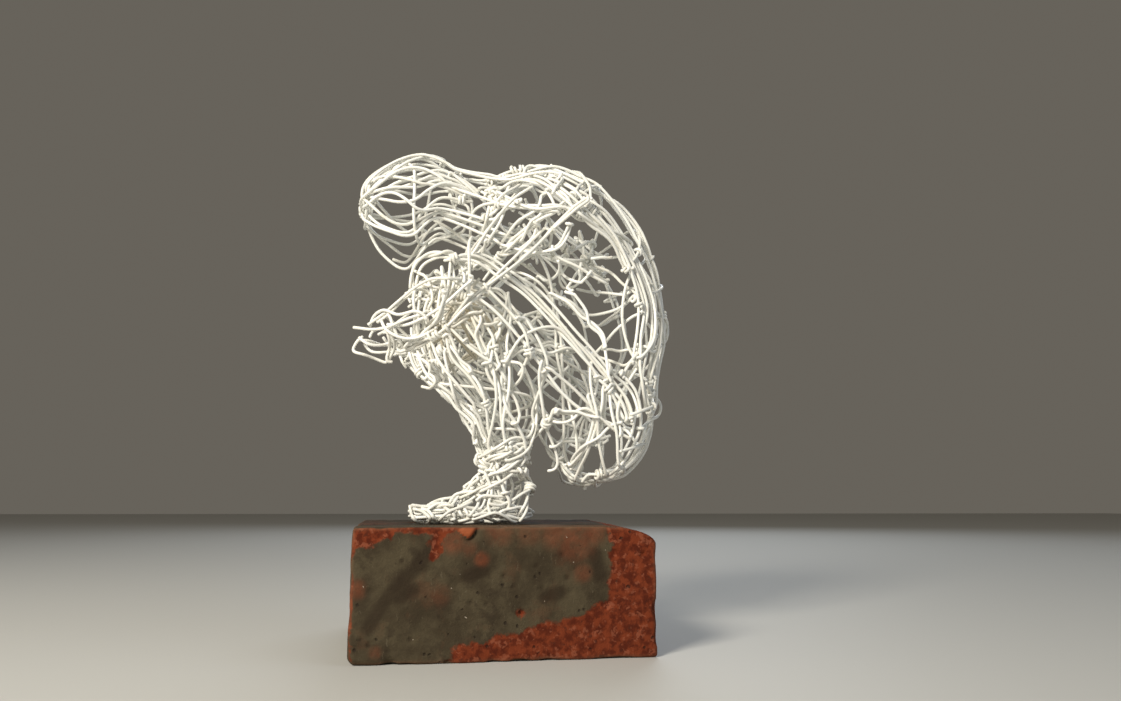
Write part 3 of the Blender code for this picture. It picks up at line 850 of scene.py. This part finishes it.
def ease_apart(lines):
    """The same lines, pushed apart where the wires would run through each other."""
    points = np.concatenate(lines)
    wire = np.repeat(np.arange(len(lines)), [len(line) for line in lines])
    place = np.concatenate([np.arange(len(line)) for line in lines])
    first = np.flatnonzero(wire[1:] == wire[:-1])
    moved = np.zeros_like(points)
    low = np.array(FIGURE_LOW) + WIRE / 2 + BOX_MARGIN
    high = np.array(FIGURE_HIGH) - WIRE / 2 - BOX_MARGIN
    for _ in range(EASE_ROUNDS):
        now = points + moved
        start, end = now[first], now[first + 1]
        one, other = near_segments(start, end, WIRE + STEP)
        steps = np.abs(place[first[one]] - place[first[other]])
        apart = (wire[first[one]] != wire[first[other]]) | (steps > NEIGHBOURS)
        one, other = one[apart], other[apart]
        s, t = closest(start[one], (end - start)[one], start[other], (end - start)[other])
        gap = (start[one] + (end - start)[one] * s[:, None]
               - start[other] - (end - start)[other] * t[:, None])
        far = np.linalg.norm(gap, axis=1)
        close = far < WIRE
        one, other, s, t, gap, far = (x[close] for x in (one, other, s, t, gap, far))
        push = gap / np.maximum(far, 1e-6)[:, None] * ((WIRE - far) * EASE_SHARE)[:, None]
        change = np.zeros_like(points)
        for seg, share, sign in ((one, s, 1), (other, t, -1)):
            np.add.at(change, first[seg], sign * push * (1 - share)[:, None])
            np.add.at(change, first[seg] + 1, sign * push * share[:, None])
        moved += change
        for _ in range(2):
            moved[1:-1] += 0.25 * np.where(
                (wire[2:] == wire[:-2])[:, None], moved[:-2] + moved[2:] - 2 * moved[1:-1], 0)
        moved = np.clip(points + moved, low, high) - points
    points = points + moved
    points[:, 2] += BRICK_TOP + WIRE / 2 - points[:, 2].min()
    length = np.linalg.norm(np.diff(points, axis=0), axis=1)[wire[1:] == wire[:-1]].sum()
    print("wires", len(lines), "length", round(length, 2), "m, still touching", len(far))
    ends = np.cumsum([len(line) for line in lines])[:-1]
    return np.split(points, ends)


def tube_rings(line):
    """Few places along a line that keep its shape, as fine points and their directions."""
    fine = smooth(line, np.linspace(0, 1, 3 * len(line)))
    run = np.diff(fine, axis=0)
    length = np.linalg.norm(run, axis=1)
    heading = run / np.maximum(length, 1e-9)[:, None]
    turned = np.arccos(np.clip((heading[1:] * heading[:-1]).sum(1), -1, 1))
    cost = np.concatenate([[0], np.cumsum(length[1:] / RING_LENGTH + turned / RING_BEND)])
    wanted = np.linspace(0, cost[-1], max(int(cost[-1]), 2) + 1)
    at = np.interp(wanted, cost, np.arange(1, len(fine)))
    at[0], at[-1] = 0, len(fine) - 1
    low = np.minimum(at.astype(int), len(fine) - 2)
    centre = fine[low] + run[low] * (at - low)[:, None]
    along = np.gradient(centre, axis=0)
    return centre, along / np.linalg.norm(along, axis=1)[:, None]


def tube(line):
    """A wire's rings and faces, with rounded ends."""
    centre, along = tube_rings(line)
    normal = crosswise(along)
    side = np.cross(along, normal)
    angle = np.linspace(0, math.tau, SIDES, endpoint=False)[None, :, None]
    spokes = normal[:, None] * np.cos(angle) + side[:, None] * np.sin(angle)
    rings = centre[:, None] + spokes * WIRE / 2
    caps = []
    for ring, at, out in ((0, centre[0], -along[0]), (-1, centre[-1], along[-1])):
        caps.append(at + spokes[ring] * WIRE * END_RADIUS + out * WIRE * END_OUT)
    points = np.concatenate([caps[0], rings.reshape(-1, 3), caps[1]])
    count = len(centre) + 2
    a = np.arange(count - 1)[:, None] * SIDES
    k = np.arange(SIDES)[None]
    nxt = (k + 1) % SIDES
    faces = np.stack([a + k, a + nxt, a + nxt + SIDES, a + k + SIDES], 2).reshape(-1, 4)
    ends = [list(range(SIDES))[::-1], list(range((count - 1) * SIDES, count * SIDES))]
    return points, faces.tolist() + ends


def mesh_piece(name, points, faces, attributes, material):
    """A smooth mesh in the scene, with attributes that hold a number for each point."""
    mesh = bpy.data.meshes.new(name)
    mesh.from_pydata(points, [], faces)
    for key, values in attributes.items():
        attribute = mesh.attributes.new(key, "FLOAT", "POINT")
        attribute.data.foreach_set("value", values.astype(np.float32))
    mesh.shade_smooth()
    mesh.materials.append(material)
    piece = bpy.data.objects.new(name, mesh)
    bpy.context.scene.collection.objects.link(piece)
    print(name, "triangles", sum(len(face) - 2 for face in faces))
    return piece


def wire_piece(name, lines, material):
    """A piece of the figure from its wires, each of its own tone."""
    points, faces, tones = [], [], []
    rng = np.random.default_rng(len(lines))
    count = 0
    for line in lines:
        ring_points, ring_faces = tube(line)
        points.append(ring_points)
        faces += [[v + count for v in face] for face in ring_faces]
        count += len(ring_points)
        tones.append(np.full(len(ring_points), rng.uniform(0, 1)))
    attributes = {"tone": np.concatenate(tones)}
    piece = mesh_piece(name, np.concatenate(points), faces, attributes, material)
    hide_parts("wire_figure")
    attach(piece, "root")


def face_points(pixels):
    """Pixels of the photograph as x and z on the brick's front face."""
    rays = pixel_rays(pixels)
    return (CAMERA_AT + rays * ((-BRICK_HALF[1] - CAMERA_AT[1]) / rays[:, 1:2]))[:, [0, 2]]


def from_pixel(flat, x, z):
    """How far places on the brick's front face lie from a pixel of the photograph."""
    return np.linalg.norm(flat - face_points([(x, z)]), axis=1)


def from_run(points, a, b):
    """How far points lie from the straight run from a to b."""
    run = b - a
    share = np.clip((points - a) @ run / (run @ run), 0, 1)
    return np.linalg.norm(points - a - share[:, None] * run, axis=1)


def outside(points, corners):
    """How far points lie outside a closed outline, below zero inside it."""
    nearest = np.full(len(points), np.inf)
    inside = np.zeros(len(points), bool)
    for a, b in zip(corners, np.roll(corners, -1, axis=0)):
        run = b - a
        nearest = np.minimum(nearest, from_run(points, a, b))
        crosses = (points[:, 1] < a[1]) != (points[:, 1] < b[1])
        with np.errstate(divide="ignore", invalid="ignore"):
            meets = a[0] + (points[:, 1] - a[1]) / run[1] * run[0]
        inside ^= crosses & (points[:, 0] < meets)
    return np.where(inside, -nearest, nearest)


def noise_at(points, scale, seed=0):
    """Smooth noise from about -1 to 1 at points, with features of the scale's length."""
    shift = Vector((seed * 7.3, seed * 3.1, seed * 5.7))
    return np.array([noise.noise(Vector(p) / scale + shift) for p in points]) * 1.6


def box_grid(half, cell):
    """The points and faces of a closed box of quads that are about as wide as a cell."""
    points, faces = [], []
    for axis in range(3):
        u, v = [k for k in range(3) if k != axis]
        nu, nv = (max(round(2 * half[k] / cell), 1) for k in (u, v))
        gu, gv = np.meshgrid(np.linspace(-half[u], half[u], nu + 1),
                             np.linspace(-half[v], half[v], nv + 1), indexing="ij")
        for sign in (1, -1):
            p = np.zeros((gu.size, 3))
            p[:, u], p[:, v], p[:, axis] = gu.ravel(), gv.ravel(), sign * half[axis]
            a = (np.arange(nu)[:, None] * (nv + 1) + np.arange(nv)[None]).ravel()
            quads = np.stack([a, a + nv + 1, a + nv + 2, a + 1], 1)
            if (sign > 0) == (axis == 1):
                quads = quads[:, ::-1]
            faces.append(quads + sum(len(q) for q in points))
            points.append(p)
    points, faces = np.concatenate(points), np.concatenate(faces)
    _, keep, index = np.unique(np.round(points * 1e6).astype(int), axis=0,
                               return_index=True, return_inverse=True)
    return points[keep], index.reshape(-1)[faces]


def worn_corner(points):
    """The points with the right end's top edge worn round, and how worn they are.

    It is worn most of all at the front corner.
    """
    shaped = points.copy()
    fade = np.clip(1 - (points[:, 1] + BRICK_HALF[1]) / WORN[2], 0, 1) ** 1.5
    wide, high = WORN[0] * fade, WORN[1] * fade
    across = (points[:, 0] - BRICK_HALF[0] + wide) / wide
    up = (points[:, 2] - BRICK_HALF[2] + high) / high
    far = (np.clip(across, 0, None) ** 1.8 + np.clip(up, 0, None) ** 1.8) ** (1 / 1.8)
    cut = (across > 0) & (up > 0) & (far > 1)
    pull = np.where(cut, 1 / np.maximum(far, 1e-9), 1)
    shaped[:, 0] = np.where(cut, BRICK_HALF[0] - wide + across * pull * wide, shaped[:, 0])
    shaped[:, 2] = np.where(cut, BRICK_HALF[2] - high + up * pull * high, shaped[:, 2])
    return shaped, np.clip((far - 0.97) / 0.1, 0, 1) * cut


def pitted(inward, away, wide, deep, where=1):
    """The depths inward, with one more round pit in them."""
    return inward + where * deep * np.clip(1 - (away / wide) ** 2, 0, 1)


def all_pits(points, flat, front, inward):
    """The depths inward, with the pits of the photograph and small ones all round."""
    for x, z, wide, deep in PITS:
        inward = pitted(inward, from_pixel(flat, x, z), wide, deep, front)
    rng = np.random.default_rng(PIT_SEED)
    for _ in range(SMALL_PITS):
        middle = rng.uniform(-BRICK_HALF, BRICK_HALF)
        axis = rng.integers(0, 3)
        middle[axis] = BRICK_HALF[axis] * rng.choice([-1, 1])
        away = np.linalg.norm(points - middle, axis=1)
        wide, deep = rng.uniform(*SMALL_PIT_WIDTH), rng.uniform(*SMALL_PIT_DEPTH)
        inward = pitted(inward, away, wide, deep)
    return inward


def chip_shape(flat, fine):
    """Where the chip is, how far it stands out, and how deep the gap beside it is. The same gap is
    painted dark on the brick as the chip's painted shadow.
    """
    outline = face_points(CHIP)
    away = outside(flat, outline)
    within = np.clip(-away / 0.0006, 0, 1) ** 0.5
    rise = (flat - outline.min(0)) / np.ptp(outline, axis=0)
    lift = np.clip(0.35 + 0.75 * rise[:, 0] - 0.25 * rise[:, 1] + 0.1 * fine, 0, 1)
    gap = np.exp(-((away - 0.0005) / 0.0006) ** 2) * (away > 0) * np.clip(lift * 2 - 0.9, 0, 1)
    return within, lift, gap


def brick_shape(points):
    """The brick worn, pitted and chipped, and the values that its colours need at each point."""
    half = BRICK_HALF
    rough = noise_at(points, 0.012, 1)
    corner = np.exp(-((points[:, 0] + half[0]) ** 2 + (points[:, 2] + half[2]) ** 2) / 0.008 ** 2)
    radius = (0.0013 + 0.0005 * rough + LOWER_LEFT_ROUND * corner)[:, None]
    core = np.clip(points, -half + radius, half - radius)
    off = points - core
    normal = off / np.linalg.norm(off, axis=1)[:, None]
    shaped, worn = worn_corner(core + normal * radius)
    edge = np.sort(half - np.abs(points), axis=1)[:, 1]
    front = points[:, 1] < -half[1] + 1e-6
    right = points[:, 0] > half[0] - 1e-6
    top = points[:, 2] > half[2] - 1e-6
    flat = shaped[:, [0, 2]] + (0, half[2])

    fine = noise_at(points, 0.004, 2)
    chips = np.clip(noise_at(points, 0.009, 3) - 0.35, 0, 1) * np.exp(-(edge / 0.002) ** 2)
    inward = 0.00012 + 0.0001 * fine + 0.0022 * chips + 0.0003 * np.clip(rough, 0, 1)
    inward += worn * 0.0003 * np.clip(fine + 0.5, 0, 2)
    shaped -= normal * all_pits(points, flat, front, inward)[:, None]

    within, lift, gap = chip_shape(flat, fine)
    chip, gap = front * within, front * gap
    shaped[:, 1] -= chip * lift * CHIP_OUT
    shaped[:, 1] += gap * 0.0007
    shaped[:, 2] += half[2]

    skin = 0.004 + 0.005 * noise_at(points, 0.03, 6)
    skin = np.where(right, -0.006 + 0.004 * rough, skin)
    skin = np.where(top, 0.006 + 0.002 * rough, skin)
    patches = np.min([outside(flat, face_points(patch)) for patch in RED_PATCHES], axis=0)
    skin = np.where(front, patches, skin)
    skin -= 0.0022 * np.exp(-(edge / 0.0012) ** 2) * (0.6 + rough)
    skin = np.where(chip > 0.1, -0.002, skin)
    skin = np.minimum(skin, 0.003 - 0.007 * worn)

    # The top is darker behind a band along its front, and that band is lighter (through the rim
    # value below).
    behind = np.clip((points[:, 1] + half[1] - 0.022 + 0.005 * rough) / 0.006, 0, 1)
    # The gap beside the chip is painted dark too: painted shadow of the chip.
    stain_and_shade = np.maximum(0.8 * top * (1 - worn) * behind, gap)
    for start, end, reach in STAINS:
        away = from_run(flat, *face_points((start, end)))
        stain_and_shade = np.maximum(stain_and_shade, front * np.exp(-(away / reach) ** 4))
    # Each pit of the front face is painted dark in its middle: painted shade in the hollow.
    for x, z, *_ in PITS:
        stain_and_shade = np.maximum(stain_and_shade, front * np.exp(-(from_pixel(flat, x, z) / 0.0008) ** 2))
    thin = 0.35 * np.clip(noise_at(points, 0.02, 9) - 0.2, 0, 1) * ~front
    pixel = (half[1] + CAMERA_AT[1]) / -FOCAL
    for x, z, reach, share in THIN_SKIN:
        away = from_pixel(flat, x, z) / (reach * pixel)
        thin = np.maximum(thin, front * share * np.exp(-away ** 4))
    rim = np.exp(-(edge / 0.0011) ** 2) * np.clip(0.7 + 0.5 * rough, 0, 1)
    before = (1 - behind) * np.clip((points[:, 0] + 0.03) / 0.01, 0, 1)
    rim = np.maximum(rim, 0.8 * top * before)
    values = {"skin": skin * 1000, "stain_and_shade": stain_and_shade, "thin": thin, "rim": rim, "lit_chip": chip}
    return np.clip(shaped, np.array(BRICK_LOW), np.array(BRICK_HIGH)), values


def brick_piece(material):
    points, faces = box_grid(BRICK_HALF, BRICK_CELL)
    shaped, values = brick_shape(points)
    piece = mesh_piece("paving_brick", shaped, faces.tolist(), values, material)
    shell = bmesh.new()
    shell.from_mesh(piece.data)
    bmesh.ops.recalc_face_normals(shell, faces=shell.faces)
    shell.to_mesh(piece.data)
    shell.free()
    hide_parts("brick_plinth")
    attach(piece, "root")


class Nodes:
    """A short way to add nodes to a material and link them."""

    def __init__(self, name):
        self.material = bpy.data.materials.new(name)
        self.material.use_nodes = True
        self.tree = self.material.node_tree
        self.shader = self.tree.nodes["Principled BSDF"]
        self.where = self.add("TexCoord").outputs["Object"]

    def add(self, kind, **values):
        node = self.tree.nodes.new("ShaderNode" + kind)
        for key, value in values.items():
            setattr(node, key, value)
        return node

    def put(self, socket, value):
        if isinstance(value, bpy.types.NodeSocket):
            self.tree.links.new(value, socket)
        else:
            socket.default_value = value

    def noise(self, scale, detail=3.0, roughness=0.55, stretch=None):
        where = self.where
        if stretch:
            mapping = self.add("Mapping")
            self.put(mapping.inputs["Vector"], where)
            mapping.inputs["Rotation"].default_value = stretch[0]
            mapping.inputs["Scale"].default_value = stretch[1]
            where = mapping.outputs["Vector"]
        node = self.add("TexNoise")
        self.put(node.inputs["Vector"], where)
        node.inputs["Scale"].default_value = scale
        node.inputs["Detail"].default_value = detail
        node.inputs["Roughness"].default_value = roughness
        return node.outputs["Fac"]

    def warp(self, scale, size):
        """Bend the coordinates that later nodes read, by about that size."""
        bend = self.add("TexNoise")
        self.put(bend.inputs["Vector"], self.where)
        bend.inputs["Scale"].default_value = scale
        middle = self.add("VectorMath", operation="SUBTRACT")
        self.put(middle.inputs[0], bend.outputs["Color"])
        middle.inputs[1].default_value = (0.5, 0.5, 0.5)
        moved = self.add("VectorMath", operation="MULTIPLY_ADD")
        self.put(moved.inputs[0], middle.outputs["Vector"])
        moved.inputs[1].default_value = (size, size, size)
        self.put(moved.inputs[2], self.where)
        self.where = moved.outputs["Vector"]

    def dots(self, scale, inner, outer, share):
        """Scattered dots, from that share at their middles to 0 at their rims."""
        cells = self.add("TexVoronoi", feature="F1")
        self.put(cells.inputs["Vector"], self.where)
        cells.inputs["Scale"].default_value = scale
        return self.between(cells.outputs["Distance"], inner, outer, share, 0.0)

    def attribute(self, name):
        return self.add("Attribute", attribute_name=name).outputs["Fac"]

    def sum(self, kind, a, b, clamp=False):
        node = self.add("Math", operation=kind, use_clamp=clamp)
        self.put(node.inputs[0], a)
        self.put(node.inputs[1], b)
        return node.outputs[0]

    def between(self, value, low, high, to_low=0.0, to_high=1.0):
        """The value's place from low to high, smoothly, as a number from to_low to to_high."""
        node = self.add("MapRange", interpolation_type="SMOOTHSTEP")
        for socket, number in zip(node.inputs, (value, low, high, to_low, to_high)):
            self.put(socket, number)
        return node.outputs[0]

    def mix(self, share, a, b, blend="MIX"):
        node = self.add("Mix", data_type="RGBA", blend_type=blend)
        self.put(node.inputs["Factor"], share)
        self.put(node.inputs[6], a)
        self.put(node.inputs[7], b)
        return node.outputs[2]

    def tint(self, colour, amount, share, tone):
        """The colour, mixed with a tone by that share of the amount."""
        return self.mix(self.sum("MULTIPLY", amount, share), colour, tone)

    def bump(self, height, distance, strength=1.0):
        node = self.add("Bump")
        self.put(node.inputs["Height"], height)
        node.inputs["Distance"].default_value = distance
        node.inputs["Strength"].default_value = strength
        self.put(self.shader.inputs["Normal"], node.outputs["Normal"])


def wire_material():
    """Satin white plastic over the wire, a little creamy, each length of its own tone."""
    n = Nodes("white_wire")
    spread = n.sum("MULTIPLY", n.noise(60), 0.4)
    tone = n.sum("ADD", n.sum("MULTIPLY", n.attribute("tone"), 0.6), spread)
    colour = n.mix(tone, (0.76, 0.75, 0.69, 1), (0.91, 0.92, 0.89, 1))
    smudge = n.between(n.noise(220, 4), 0.58, 0.74)
    colour = n.tint(colour, smudge, 0.35, (0.55, 0.50, 0.40, 1))
    off = n.add("VectorMath", operation="DISTANCE")
    n.put(off.inputs[0], n.where)
    n.put(off.inputs[1], CREAM_AT)
    cream = n.between(off.outputs["Value"], *CREAM_REACH, CREAM_SHARE, 0.0)
    colour = n.mix(cream, colour, (0.62, 0.53, 0.36, 1))
    n.put(n.shader.inputs["Base Color"], colour)
    n.put(n.shader.inputs["Roughness"], n.between(n.noise(500, 2), 0.3, 0.7, 0.24, 0.40))
    n.bump(n.noise(900, 2), 0.00005, 0.6)
    return n.material


def brick_material():
    """Rust red fired clay, under a dark grey skin where the attribute says so."""
    n = Nodes("fired_brick")
    grain = n.noise(1400, 4, 0.7)
    n.warp(700, 0.0016)
    ragged = n.sum("MULTIPLY", n.sum("SUBTRACT", n.noise(260, 5, 0.6), 0.5), 7.0)
    skin = n.between(n.sum("ADD", n.attribute("skin"), ragged), -0.8, 0.8)

    share = n.between(n.noise(300, 3), 0.38, 0.62)
    red = n.mix(share, (0.075, 0.014, 0.006, 1), (0.155, 0.032, 0.012, 1))
    pale = n.between(n.noise(430, 2), 0.56, 0.66)
    red = n.tint(red, pale, 0.6, (0.24, 0.075, 0.040, 1))
    dark = n.between(n.noise(520, 3, 0.6), 0.60, 0.70)
    red = n.tint(red, dark, 0.6, (0.045, 0.014, 0.009, 1))

    share = n.between(n.noise(70, 4), 0.36, 0.62)
    grey = n.mix(share, (0.040, 0.030, 0.018, 1), (0.068, 0.054, 0.032, 1))
    blotch = n.between(n.noise(150, 4, 0.6), 0.55, 0.68)
    grey = n.tint(grey, blotch, 0.5, (0.028, 0.020, 0.013, 1))
    warm = n.between(n.noise(95, 5, 0.6), 0.52, 0.72)
    grey = n.tint(grey, warm, 0.4, (0.095, 0.045, 0.024, 1))
    grey = n.tint(grey, n.between(grain, 0.45, 0.75), 0.3, (0.022, 0.017, 0.011, 1))
    scratch = n.between(n.noise(1, 2, 0.5, ((0, 0.45, 0), (1500, 1500, 170))), 0.66, 0.74)
    grey = n.tint(grey, scratch, 0.35, (0.13, 0.11, 0.075, 1))
    grey = n.tint(grey, n.attribute("stain_and_shade"), 0.75, (0.024, 0.016, 0.010, 1))
    showing = n.mix(0.35, (0.15, 0.050, 0.024, 1), red)
    worn = n.between(n.noise(260, 3), 0.25, 0.55, 0.45, 1.0)
    grey = n.tint(grey, n.attribute("thin"), worn, showing)
    # The proud chip is painted a lighter orange: painted light on its face.
    red = n.tint(red, n.attribute("lit_chip"), 0.75, (0.30, 0.085, 0.034, 1))
    colour = n.mix(skin, red, grey)

    colour = n.mix(n.dots(175, 0.06, 0.14, 0.7), colour, (0.018, 0.012, 0.009, 1))
    colour = n.tint(colour, n.attribute("rim"), 0.45, (0.19, 0.10, 0.058, 1))
    colour = n.mix(n.dots(140, 0.02, 0.045, 0.8), colour, (0.42, 0.36, 0.29, 1))
    n.put(n.shader.inputs["Base Color"], colour)
    n.put(n.shader.inputs["Roughness"], n.between(skin, 0, 1, 0.95, 0.85))
    n.put(n.shader.inputs["Specular IOR Level"], 0.1)
    height = n.sum("ADD", n.sum("MULTIPLY", grain, 0.35), n.noise(350, 4, 0.6))
    height = n.sum("ADD", height, n.sum("MULTIPLY", skin, 0.25))
    height = n.sum("SUBTRACT", height, n.dots(175, 0.06, 0.14, 0.8))
    n.bump(height, 0.0005, 0.8)
    return n.material


def make_camera():
    data = bpy.data.cameras.new("camera")
    data.sensor_width = FILM * 1000
    data.lens = LENS * 1000
    camera = bpy.data.objects.new("camera", data)
    camera.location = CAMERA_AT
    axes = Matrix((RIGHT, UP, -FORWARD)).transposed()
    camera.rotation_euler = axes.to_euler()
    bpy.context.scene.collection.objects.link(camera)
    bpy.context.scene.camera = camera


def make_light(name, place, size, power, colour):
    """A square light that points at the figure."""
    data = bpy.data.lights.new(name, "AREA")
    data.size = size
    data.energy = power
    data.color = colour
    light = bpy.data.objects.new(name, data)
    light.location = place
    light.rotation_euler = (Vector(LIT_AT) - Vector(place)).to_track_quat("-Z", "Y").to_euler()
    bpy.context.scene.collection.objects.link(light)


def make_studio():
    bpy.ops.mesh.primitive_plane_add(size=FLOOR_SIZE)
    floor = bpy.context.object
    floor.name = "floor"
    material = bpy.data.materials.new("pale_floor")
    material.use_nodes = True
    shader = material.node_tree.nodes["Principled BSDF"]
    shader.inputs["Base Color"].default_value = FLOOR_COLOUR
    shader.inputs["Roughness"].default_value = 0.6
    floor.data.materials.append(material)
    world = bpy.data.worlds.new("studio")
    world.use_nodes = True
    world.node_tree.nodes["Background"].inputs["Color"].default_value = WORLD_COLOUR
    bpy.context.scene.world = world
    for name, light in LIGHTS.items():
        make_light(name, *light)
    bpy.context.scene.view_settings.view_transform = "Standard"


def main():
    make_camera()
    make_studio()
    parts, lines = wires()
    material = wire_material()
    for part in KNOTS:
        wire_piece("wire_" + part, [line for p, line in zip(parts, lines) if p == part], material)
    brick_piece(brick_material())


main()
